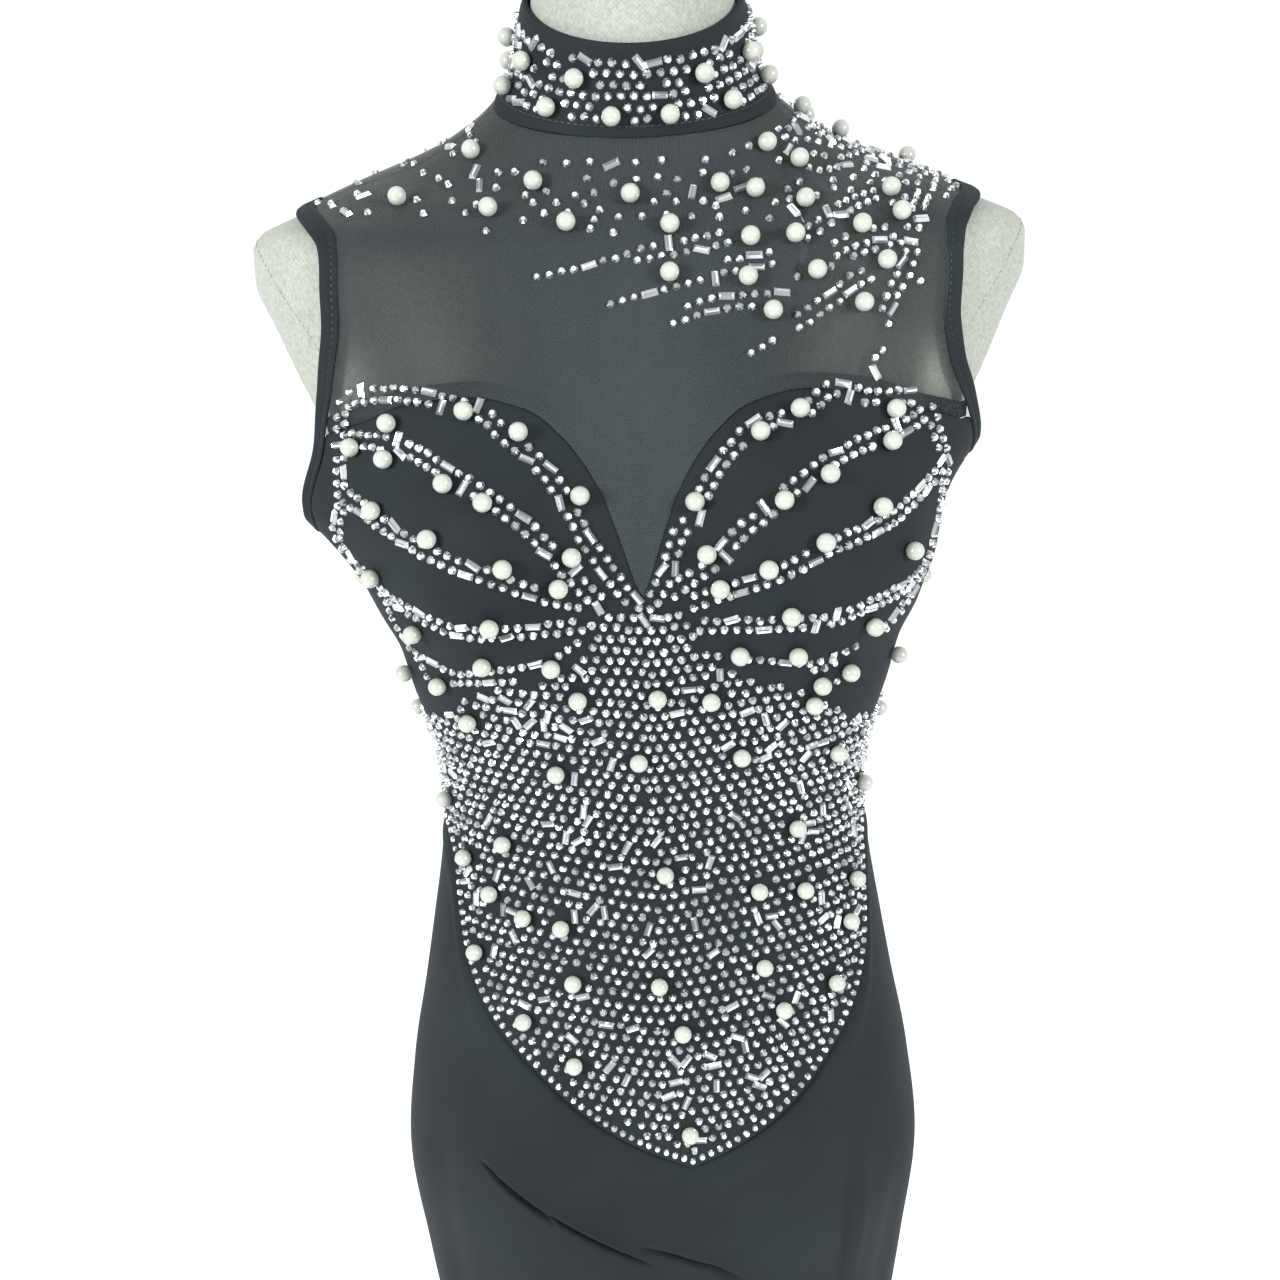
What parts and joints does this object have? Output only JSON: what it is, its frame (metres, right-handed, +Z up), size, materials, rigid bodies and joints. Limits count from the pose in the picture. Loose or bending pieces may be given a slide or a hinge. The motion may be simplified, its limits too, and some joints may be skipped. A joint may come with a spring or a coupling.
{
  "type": "evening gown on a limbless dress form",
  "caption": "Sleeveless floor-length evening gown with high collar, sheer mesh yoke and beaded pointed bodice, standing on a limbless dress form.",
  "frame": {"origin": "centre of the stand base's underside, where it rests on the floor", "axes": "+Z up, -Y towards the gown's front, +X towards the wearer's left"},
  "size_m": [0.4529, 0.4459, 1.5045],
  "materials": {
    "linen_form": "pale linen weave over a padded form",
    "black_enamel": "black enamel",
    "black_jersey": "black stretch jersey, faint sheen",
    "black_mesh": "sheer black stretch mesh",
    "beaded_jersey": "black jersey set with clear crystals and ivory pearls",
    "zip_tape": "black woven zip tape with coil teeth",
    "zip_metal": "black enamelled metal"
  },
  "bodies": {
    "gown_on_form": {"form_torso": "linen_form", "stand_pole": "black_enamel", "stand_base": "black_enamel", "skirt_front": "black_jersey", "skirt_back_left": "black_jersey", "skirt_back_right": "black_jersey", "bodice_front": "beaded_jersey", "bodice_back_left": "beaded_jersey", "bodice_back_right": "beaded_jersey", "yoke_front": "black_mesh", "yoke_back_left": "black_mesh", "yoke_back_right": "black_mesh", "neckline_facing": "black_jersey", "armhole_binding_left": "black_jersey", "armhole_binding_right": "black_jersey", "collar": "beaded_jersey", "zip_chain": "zip_tape", "zip_slider": "zip_metal"},
    "pull_tab": {"zip_pull": "zip_metal"}
  },
  "joints": [
    {"name": "zip_pull_hinge", "type": "hinge", "parent": "gown_on_form", "child": "pull_tab", "pos_m": [0, 0.05059, 1.46072], "axis": [1, 0, 0], "range_deg": [0, 165]}
  ]
}
